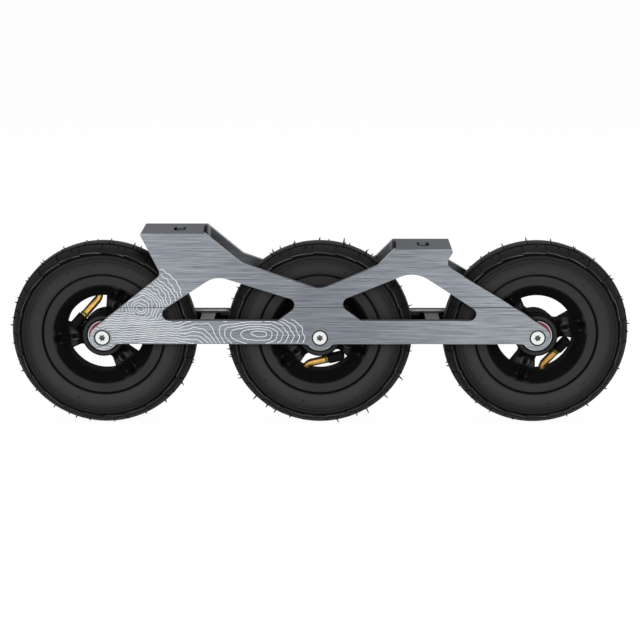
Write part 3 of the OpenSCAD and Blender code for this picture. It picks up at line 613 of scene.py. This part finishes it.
# Where the features lie along that distance, and their half widths and heights
groove_at, shoulder_at = run_at(26), run_at(57)
rib_at = [float(np.interp(-r, -walk[:, 0], run)) for r in (54.6, 52.4, 50.2)]
lip_at = run_at(58) + 0.9
gutter_at = lip_at + 1.2
groove_half, groove_deep = 0.65, 0.9
notch_half, notch_deep, notch_rise = 0.65, 0.9, 0.6
slit_half, slit_deep, slit_low, slit_gap = 0.28, 0.6, 1.2, 1.3
lip_half, lip_high, lip_drift, lip_zone = 0.3, 0.45, 0.42, 2.1
gutter_half, gutter_deep = 0.75, 0.9
rib_half, rib_high = 0.4, 0.34
soft = 0.07


def bank(distance, half):
    """1 inside a band of that half width, 0 outside it, with steep sides."""
    return np.clip((half + soft - np.abs(distance)) / (2 * soft), 0, 1)


# Rows across the section: close together at each edge of a groove, rib or lip and on the shoulder
row_step, least_step = 0.85, 0.04
edges = [(groove_at, groove_half), (lip_at, lip_half), (gutter_at, gutter_half),
         *((r, rib_half) for r in rib_at), (run_at(40), 0.1)]
rows = set(np.round(np.arange(0, run[-1], row_step), 3)) | {float(run[-1])}
for centre, reach in edges:
    rows |= {round(centre + side * (reach + sign * soft), 3) for side in (-1, 1) for sign in (-1, 1)}
    rows |= {round(centre, 3)}
rows = np.array(sorted(r for r in rows if r >= 0))
rows = rows[np.concatenate([[True], np.diff(rows) > least_step])]
across = np.concatenate([-rows[:0:-1], rows])

# Columns round the tyre, as shares of a block: close together at each side of a groove or slit
tread_r = 60
arc = 2 * math.pi * tread_r / blocks
notch = notch_half / arc
slim = soft / arc
slit_at = 0.06
slit = slit_half / arc
marks = [0, 0.15, 0.22, 0.3, 0.38, 0.62, 0.7, 0.78, 0.86, 0.93, 0.497, 0.503]
marks += [0.5 + s * (notch + e * slim) for s in (-1, 1) for e in (-1, 1)]
marks += [slit_at + s * (slit + e * slim) for s in (-1, 1) for e in (-1, 1)]
marks = np.array(sorted(marks))
around = np.concatenate([(b + marks) / blocks for b in range(blocks)])

s, u = np.meshgrid(across, around * blocks % 1, indexing="ij")
size = np.abs(s)
# The lip drifts towards the side along each block and jumps back at the shoulder groove
saw = lip_drift * (1 - 2 * ((u + 0.5) % 1))
drawn = size + saw * np.clip(lip_zone - np.abs(size - lip_at), 0, 1)
turn = np.sign(s) * np.interp(np.clip(drawn, 0, run[-1]), run, fine_turn)
middle = (groove_at + shoulder_at) / 2
span = (shoulder_at - groove_at) / 2
depth = notch_deep - notch_rise * ((size - middle) / span) ** 2
swell = -groove_deep * bank(size - groove_at, groove_half)
in_notch = bank((u - 0.5) * arc, notch_half) * (np.abs(size - middle) <= span)
swell = np.minimum(swell, -depth * in_notch)
on_crown = (size > slit_low) & (size < groove_at - slit_gap)
swell -= slit_deep * (bank((u - slit_at) * arc, slit_half) * on_crown)
swell += lip_high * bank(size - lip_at, lip_half) - gutter_deep * bank(size - gutter_at, gutter_half)
for at in rib_at:
    swell += rib_high * bank(size - at, rib_half)

# The features stand square to the section's curve
place = side_point(0, turn)
cosine, sine = np.cos(np.radians(turn)), np.sin(np.radians(turn))
power = 2 - 2 / square
lean = np.arctan2(np.sign(turn) * np.abs(sine) ** power / half_w,
                  np.abs(cosine) ** power * np.sign(cosine) / section_a)
far = place[0] + swell * np.cos(lean)
aside = place[1] + swell * np.sin(lean)

# The beads and the hollow inside close the section
rim_w, flange_t, play = 20.6, 2.1, 0.1
bead_w, seat_r = 3.7, 35.83
bead_z = rim_w / 2 - flange_t - play
toe_z = bead_z - bead_w
inner_end = 180 - math.degrees(math.asin((toe_z / (half_w - casing)) ** (square / 2)))
inner_steps = 19
inside = side_point(casing, np.linspace(inner_end, -inner_end, inner_steps)).T
bead = [(flange_r + bead_gap / 2, bead_z + 0.5), (flange_r - 1.2, bead_z),
        (seat_r, bead_z), (seat_r, toe_z)]
hidden = np.array(bead + [tuple(p) for p in inside] + [(r, -z) for r, z in reversed(bead)])
ones = np.ones(len(around))
far = np.vstack([far, np.outer(hidden[:, 0], ones)])
aside = np.vstack([aside, np.outer(hidden[:, 1], ones)])

angle = 2 * np.pi * around
xyz = np.stack([far * np.cos(angle), -aside, far * np.sin(angle)], axis=-1) / 1000
n_rows, n_cols = far.shape
i, j = np.meshgrid(np.arange(n_rows), np.arange(n_cols), indexing="ij")
i2, j2 = (i + 1) % n_rows, (j + 1) % n_cols
quads = np.stack([i * n_cols + j, i * n_cols + j2, i2 * n_cols + j2, i2 * n_cols + j], axis=-1)
tread = bpy.data.meshes.new("tyre")
tread.from_pydata(xyz.reshape(-1, 3).tolist(), [], quads.reshape(-1, 4).tolist())
tread.shade_smooth()
tread.set_sharp_from_angle(angle=math.radians(42))

rubber, tree, shader = new_finish("tyre_rubber", Specular_IOR_Level=0.11)
grain = place_effect(tree, moulded_grain, {"Fine": 1500.0, "Broad": 38.0})
tone = blend(tree, grain.outputs["Tone"], (0.029, 0.0268, 0.0278), (0.039, 0.0362, 0.0374))
# Painted shade: the side darkens outwards, between its ribs most. The tread is nearly black
rib_pitch, rib_phase = 0.0022, 0.9 * math.pi
rings = place_effect(tree, turned_rings, {"Rings": 900.0})
outer = ramp(tree, rings.outputs["Reach"], 0.0442, 0.0555, 0.0, 0.66)
side_shaded = blend(tree, outer, tone, (0.0042, 0.0041, 0.0041))
tread_band = ramp(tree, rings.outputs["Reach"], 0.0564, 0.0582)
wave = maths(tree, "MULTIPLY_ADD", rings.outputs["Reach"], 2 * math.pi / rib_pitch, rib_phase)
crest = maths(tree, "SINE", wave)
dip = ramp(tree, crest, -1.0, 1.0, 0.72, 0.0)
ribbed = ramp(tree, rings.outputs["Reach"], 0.0495, 0.0525)
dimmed = maths(tree, "MULTIPLY", dip, ribbed)
between_ribs = blend(tree, dimmed, side_shaded, (0.003, 0.003, 0.003))
blotch = blend(tree, grain.outputs["Drift"], (0.0018, 0.0018, 0.0018), (0.0062, 0.006, 0.006))
compound = blend(tree, tread_band, between_ribs, blotch)
# Painted shade: the rubber beside the rim's flange is coloured near black, where its crevice lies in
# shade
bead_dark = ramp(tree, rings.outputs["Reach"], 0.0420, 0.0425)
shaded = blend(tree, bead_dark, (0.003, 0.003, 0.003), compound)
tree.links.new(shaded, shader.inputs["Base Color"])
gloss(tree, shader, grain.outputs["Tone"], 0.5, 0.68)
relief(tree, shader, grain.outputs["Height"], 0.00006, 0.6)
tread.materials.append(rubber)

# Painted highlight: the lip is paler than the rest, where its edge catches the light
pale_rubber, tree, shader = new_finish("lip_rubber", Specular_IOR_Level=0.15)
grain = place_effect(tree, moulded_grain, {"Fine": 1500.0, "Broad": 110.0})
tint(tree, shader, grain.outputs["Drift"], (0.016, 0.0153, 0.0157), (0.1, 0.096, 0.098))
gloss(tree, shader, grain.outputs["Tone"], 0.5, 0.65)
tread.materials.append(pale_rubber)

# The gutter beside the lip holds no light
gutter_rubber, tree, shader = new_finish("gutter_rubber", Specular_IOR_Level=0.05)
grain = place_effect(tree, moulded_grain, {"Fine": 1500.0, "Broad": 60.0})
tint(tree, shader, grain.outputs["Tone"], (0.0015, 0.0015, 0.0015), (0.003, 0.003, 0.003))
gloss(tree, shader, grain.outputs["Tone"], 0.7, 0.85)
tread.materials.append(gutter_rubber)
band = np.zeros(n_rows, dtype=np.int32)
for number, centre, reach in ((1, lip_at, lip_half), (2, gutter_at, gutter_half)):
    inside_band = np.abs(np.abs(across) - centre) < reach + 0.01
    band[:len(across) - 1][inside_band[:-1] & inside_band[1:]] = number
tread.polygons.foreach_set("material_index", np.repeat(band, n_cols))

# Each wheel has turned to its own angle, in degrees
axle_x = {"rear": -axle_pitch, "middle": 0.0, "front": axle_pitch}
stands = {"rear": 8.0, "middle": 3.0, "front": 12.0}
on_axle = {}
for wheel in wheels:
    standing = Matrix.Rotation(math.radians(stands[wheel]), 4, "Y")
    on_axle[wheel] = Matrix.Translation((axle_x[wheel], 0, axle_z)) @ standing
    own = tread.copy()
    own.transform(on_axle[wheel])
    tyre = add_object(f"{wheel}_treaded_tyre", own)
    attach(tyre, f"{wheel}_wheel")
    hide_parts(f"{wheel}_tyre")


# VENT HAIRS
# Thin rubber hairs that the mould's air vents leave on a new tyre, along both edges of the tread,
# and short cut stubs of them on the side. They are of the tyre's own rubber.

def strip(first, after, sides):
    """Faces between two rings of points."""
    return [(first + k, first + (k + 1) % sides, after + (k + 1) % sides, after + k)
            for k in range(sides)]


# A hair ends above the floor, in mm from the axle; taper: share of its length, share of its width
hair_sides = 6
over_floor = -62.9
taper = ((-0.12, 1.15), (0.15, 1.0), (0.6, 0.72), (1.0, 0.42))


def add_hair(points, faces, standing, foot, ahead, bend, length, thick):
    """A tapered, slightly bent hair from its foot, in mm; none where it would reach the floor."""
    side = ahead.orthogonal().normalized()
    other = ahead.cross(side)
    start = len(points)
    if (standing @ (foot + (ahead + bend) * length)).z < over_floor:
        return
    for ring, (share, wide) in enumerate(taper):
        middle = foot + ahead * (length * share) + bend * (length * max(share, 0) ** 2)
        for k in range(hair_sides):
            a = 2 * math.pi / hair_sides * k
            outward = (side * math.cos(a) + other * math.sin(a)) * (thick / 2 * wide)
            points.append((middle + outward) / 1000)
        if ring:
            low = start + hair_sides * (ring - 1)
            faces += strip(low, low + hair_sides, hair_sides)
    tip = start + hair_sides * (len(taper) - 1)
    faces.append(tuple(tip + k for k in range(hair_sides)))
    faces.append(tuple(start + k for k in reversed(range(hair_sides))))


hair_rubber, tree, shader = new_finish("hair_rubber", Specular_IOR_Level=0.1)
grain = place_effect(tree, moulded_grain, {"Fine": 1500.0, "Broad": 300.0})
tint(tree, shader, grain.outputs["Tone"], (0.003, 0.003, 0.003), (0.006, 0.006, 0.006))
gloss(tree, shader, grain.outputs["Tone"], 0.55, 0.7)

# Two rows of hairs: distance from the crown in mm, share left out, and place along a block
hair_rows = ((4.6, 0.12, slit_at, (0.14, 0.2)), (8.6, 0.45, 0.0, (0.8, 0.95)))
stubs, stub_turns, stub_length, stub_thick = 11, (84, 96, 103), 0.45, 1.1
longest = {"rear": 2.5, "middle": 3.9, "front": 2.5}
seeds = {"rear": 3, "middle": 8, "front": 5}
for wheel in wheels:
    luck = random.Random(seeds[wheel])
    standing = Matrix.Rotation(math.radians(stands[wheel]), 3, "Y")
    points, faces = [], []
    for side in (-1, 1):
        for block in range(blocks):
            for at, left_out, from_start, along_block in hair_rows:
                if luck.random() < left_out:
                    continue
                turn = float(np.interp(at + luck.uniform(-0.4, 0.4), run, fine_turn)) * side
                r, z = side_point(0, turn)
                a = 2 * math.pi * (block + (from_start + luck.uniform(*along_block))) / blocks
                tip = math.radians(0.7 * turn)
                spoke = Vector((math.cos(a), 0, math.sin(a)))
                ahead = (spoke * math.cos(tip) + Vector((0, -math.sin(tip), 0))).normalized()
                onward = Vector((-spoke.z, 0, spoke.x))
                bend = onward * luck.uniform(-0.35, 0.35) + spoke * luck.uniform(-0.2, 0.0)
                length = luck.uniform(0.45, 1.0) * longest[wheel]
                thick = luck.uniform(0.95, 1.2)
                foot = spoke * r + Vector((0, -z, 0))
                add_hair(points, faces, standing, foot, ahead, bend, length, thick)
        for stub in range(stubs):
            a = 2 * math.pi * (stub + luck.uniform(-0.2, 0.2)) / stubs
            r, z = side_point(0, side * luck.choice(stub_turns))
            foot = Vector((math.cos(a), 0, math.sin(a))) * r + Vector((0, -z, 0))
            add_hair(points, faces, standing, foot, Vector((0, -side, 0)), Vector((0, 0, 0)),
                     stub_length, stub_thick)
    points = [on_axle[wheel] @ p for p in points]
    mesh = bpy.data.meshes.new(f"{wheel}_vent_hairs")
    mesh.from_pydata([tuple(p) for p in points], [], faces)
    loose = add_object(f"{wheel}_vent_hairs", mesh)
    mesh.materials.append(hair_rubber)
    mesh.shade_smooth()
    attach(loose, f"{wheel}_wheel")


# VALVES
# A bent brass stem leaves each tube through the rim's barrel and leans out to the near side, where a
# pump can reach it. A ribbed black cap screws on its end.

brass, tree, shader = new_finish("valve_brass", Metallic=0.82)
grain = place_effect(tree, moulded_grain, {"Fine": 3000.0, "Broad": 160.0})
tone = blend(tree, grain.outputs["Tone"], (0.47, 0.26, 0.05), (0.72, 0.45, 0.13))
# Painted light and shade: the brass is bright where it faces the near or far side, and dark brown
# elsewhere
facing = parts_of(tree, "Normal")
sideways = maths(tree, "ABSOLUTE", facing[1])
faces_side = ramp(tree, sideways, 0.45, 0.95)
brass_light_and_shade = blend(tree, faces_side, (0.12, 0.048, 0.008), tone)
tree.links.new(brass_light_and_shade, shader.inputs["Base Color"])
gloss(tree, shader, grain.outputs["Drift"], 0.24, 0.36)

cap_plastic, tree, shader = new_finish("cap_plastic", Specular_IOR_Level=0.05)
grain = place_effect(tree, moulded_grain, {"Fine": 3500.0, "Broad": 120.0})
tint(tree, shader, grain.outputs["Tone"], (0.002, 0.002, 0.002), (0.004, 0.004, 0.004))
gloss(tree, shader, grain.outputs["Tone"], 0.5, 0.65)

for wheel in wheels:
    dress(f"{wheel}_valve_stem", brass)
    dress(f"{wheel}_valve_cap", cap_plastic)

# A green sealing ring lies on each stem under its cap
ring_plastic, tree, shader = new_finish("ring_plastic", Specular_IOR_Level=0.12)
grain = place_effect(tree, moulded_grain, {"Fine": 3500.0, "Broad": 200.0})
tint(tree, shader, grain.outputs["Tone"], (0.05, 0.075, 0.012), (0.085, 0.12, 0.022))
gloss(tree, shader, grain.outputs["Tone"], 0.35, 0.5)
# The stem's bend and lean, the bend's radius and the radius at which it leaves the barrel, in mm
bend, lean, bend_r, barrel_r = math.radians(53), math.radians(27), 5.5, 27.3
bend_end = (barrel_r - bend_r * math.sin(bend), bend_r * (1 - math.cos(bend)), 0)
after_bend = (Matrix.Translation(bend_end) @ Matrix.Rotation(math.pi - bend, 4, "Z")
              @ Matrix.Rotation(math.pi / 2, 4, "Y"))
# The ring's section: radius, and distance along the stem after its bend, in mm
ring_section = ((2.6, 12.3), (2.95, 12.5), (2.95, 13.9), (2.6, 14.1))
ring_sides = 32
hole_from_spoke = 31
for wheel in wheels:
    hole_turn = Matrix.Rotation(math.radians(spoke_phase[wheel] + hole_from_spoke), 4, "Z")
    stem = (Matrix.Rotation(math.pi / 2, 4, "X") @ hole_turn @ Matrix.Rotation(lean, 4, "X")
            @ after_bend)
    points, faces = [], []
    for r, at in ring_section:
        for k in range(ring_sides):
            a = 2 * math.pi * k / ring_sides
            on_stem = stem @ Vector((r * math.cos(a), r * math.sin(a), at))
            points.append(on_stem / 1000 + Vector((axle_x[wheel], 0, axle_z)))
    for row in range(len(ring_section)):
        after = (row + 1) % len(ring_section)
        faces += strip(ring_sides * row, ring_sides * after, ring_sides)
    mesh = bpy.data.meshes.new(f"{wheel}_valve_ring")
    mesh.from_pydata([tuple(p) for p in points], [], faces)
    mesh.shade_smooth()
    mesh.set_sharp_from_angle(angle=math.radians(40))
    mesh.materials.append(ring_plastic)
    ring_piece = add_object(f"{wheel}_valve_ring", mesh)
    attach(ring_piece, f"{wheel}_wheel")


# STUDIO
# A pale floor and backdrop, broad soft light from above and the front, and a long lens a little above
# the axles.

floor_half, floor_z = 6, -0.0002
corners = [(x * floor_half, y * floor_half, floor_z) for x, y in ((-1, -1), (1, -1), (1, 1), (-1, 1))]
floor_mesh = bpy.data.meshes.new("floor")
floor_mesh.from_pydata(corners, [], [(0, 1, 2, 3)])
floor = add_object("floor", floor_mesh)


def seen_ray(tree):
    """1 for the rays that show a backdrop, and 0 for those that only light the part."""
    path = put(tree, "LightPath", {}, {}).outputs
    direct = maths(tree, "MAXIMUM", path["Is Camera Ray"], path["Is Glossy Ray"])
    return maths(tree, "MAXIMUM", direct, path["Is Transmission Ray"])


pale, tree, shader = new_finish("pale_floor", Base_Color=(0.94, 0.94, 0.94, 1), Roughness=0.9)
share = maths(tree, "MULTIPLY", seen_ray(tree), 0.92)
glow = put(tree, "Emission", {}, {"Color": (1, 1, 1, 1), "Strength": 1.035})
mixed = put(tree, "MixShader", {}, {0: share, 1: shader.outputs[0], 2: glow.outputs[0]})
tree.links.new(mixed.outputs[0], tree.nodes["Material Output"].inputs["Surface"])
floor_mesh.materials.append(pale)

world = bpy.data.worlds.new("studio")
bpy.context.scene.world = world
world.use_nodes = True
tree = world.node_tree
strength = ramp(tree, seen_ray(tree), 0.0, 1.0, 0.32, 1.0)
tree.links.new(strength, tree.nodes["Background"].inputs["Strength"])
tree.nodes["Background"].inputs["Color"].default_value = (1, 1, 1, 1)

aim = Vector((0, 0, 0.06))
for name, spot, width, power in (
        ("top_light", (0.0, 0.1, 1.4), 1.4, 9.0),
        ("left_light", (-1.0, -1.3, 0.75), 0.9, 12.0),
        ("right_light", (1.0, -1.3, 0.75), 0.9, 12.0)):
    lamp = bpy.data.lights.new(name, "AREA")
    lamp.size = width
    lamp.energy = power
    stand = add_object(name, lamp)
    stand.location = spot
    stand.rotation_mode = "QUATERNION"
    stand.rotation_quaternion = (aim - Vector(spot)).to_track_quat("-Z", "Y")

camera = bpy.data.cameras.new("camera")
camera.lens = 98.1
camera.sensor_width = 36
viewer = add_object("camera", camera)
distance, offset = 1.2, 0.0035
rise, tilt, pan = math.radians(13.92), math.radians(0.367), math.radians(0.169)
viewer.location = (offset, -distance * math.cos(rise), axle_z + distance * math.sin(rise))
viewer.rotation_euler = (math.pi / 2 - rise + tilt, 0, pan)
camera.clip_start, camera.clip_end = 0.05, 50
bpy.context.scene.camera = viewer
bpy.context.scene.view_settings.view_transform = "Standard"
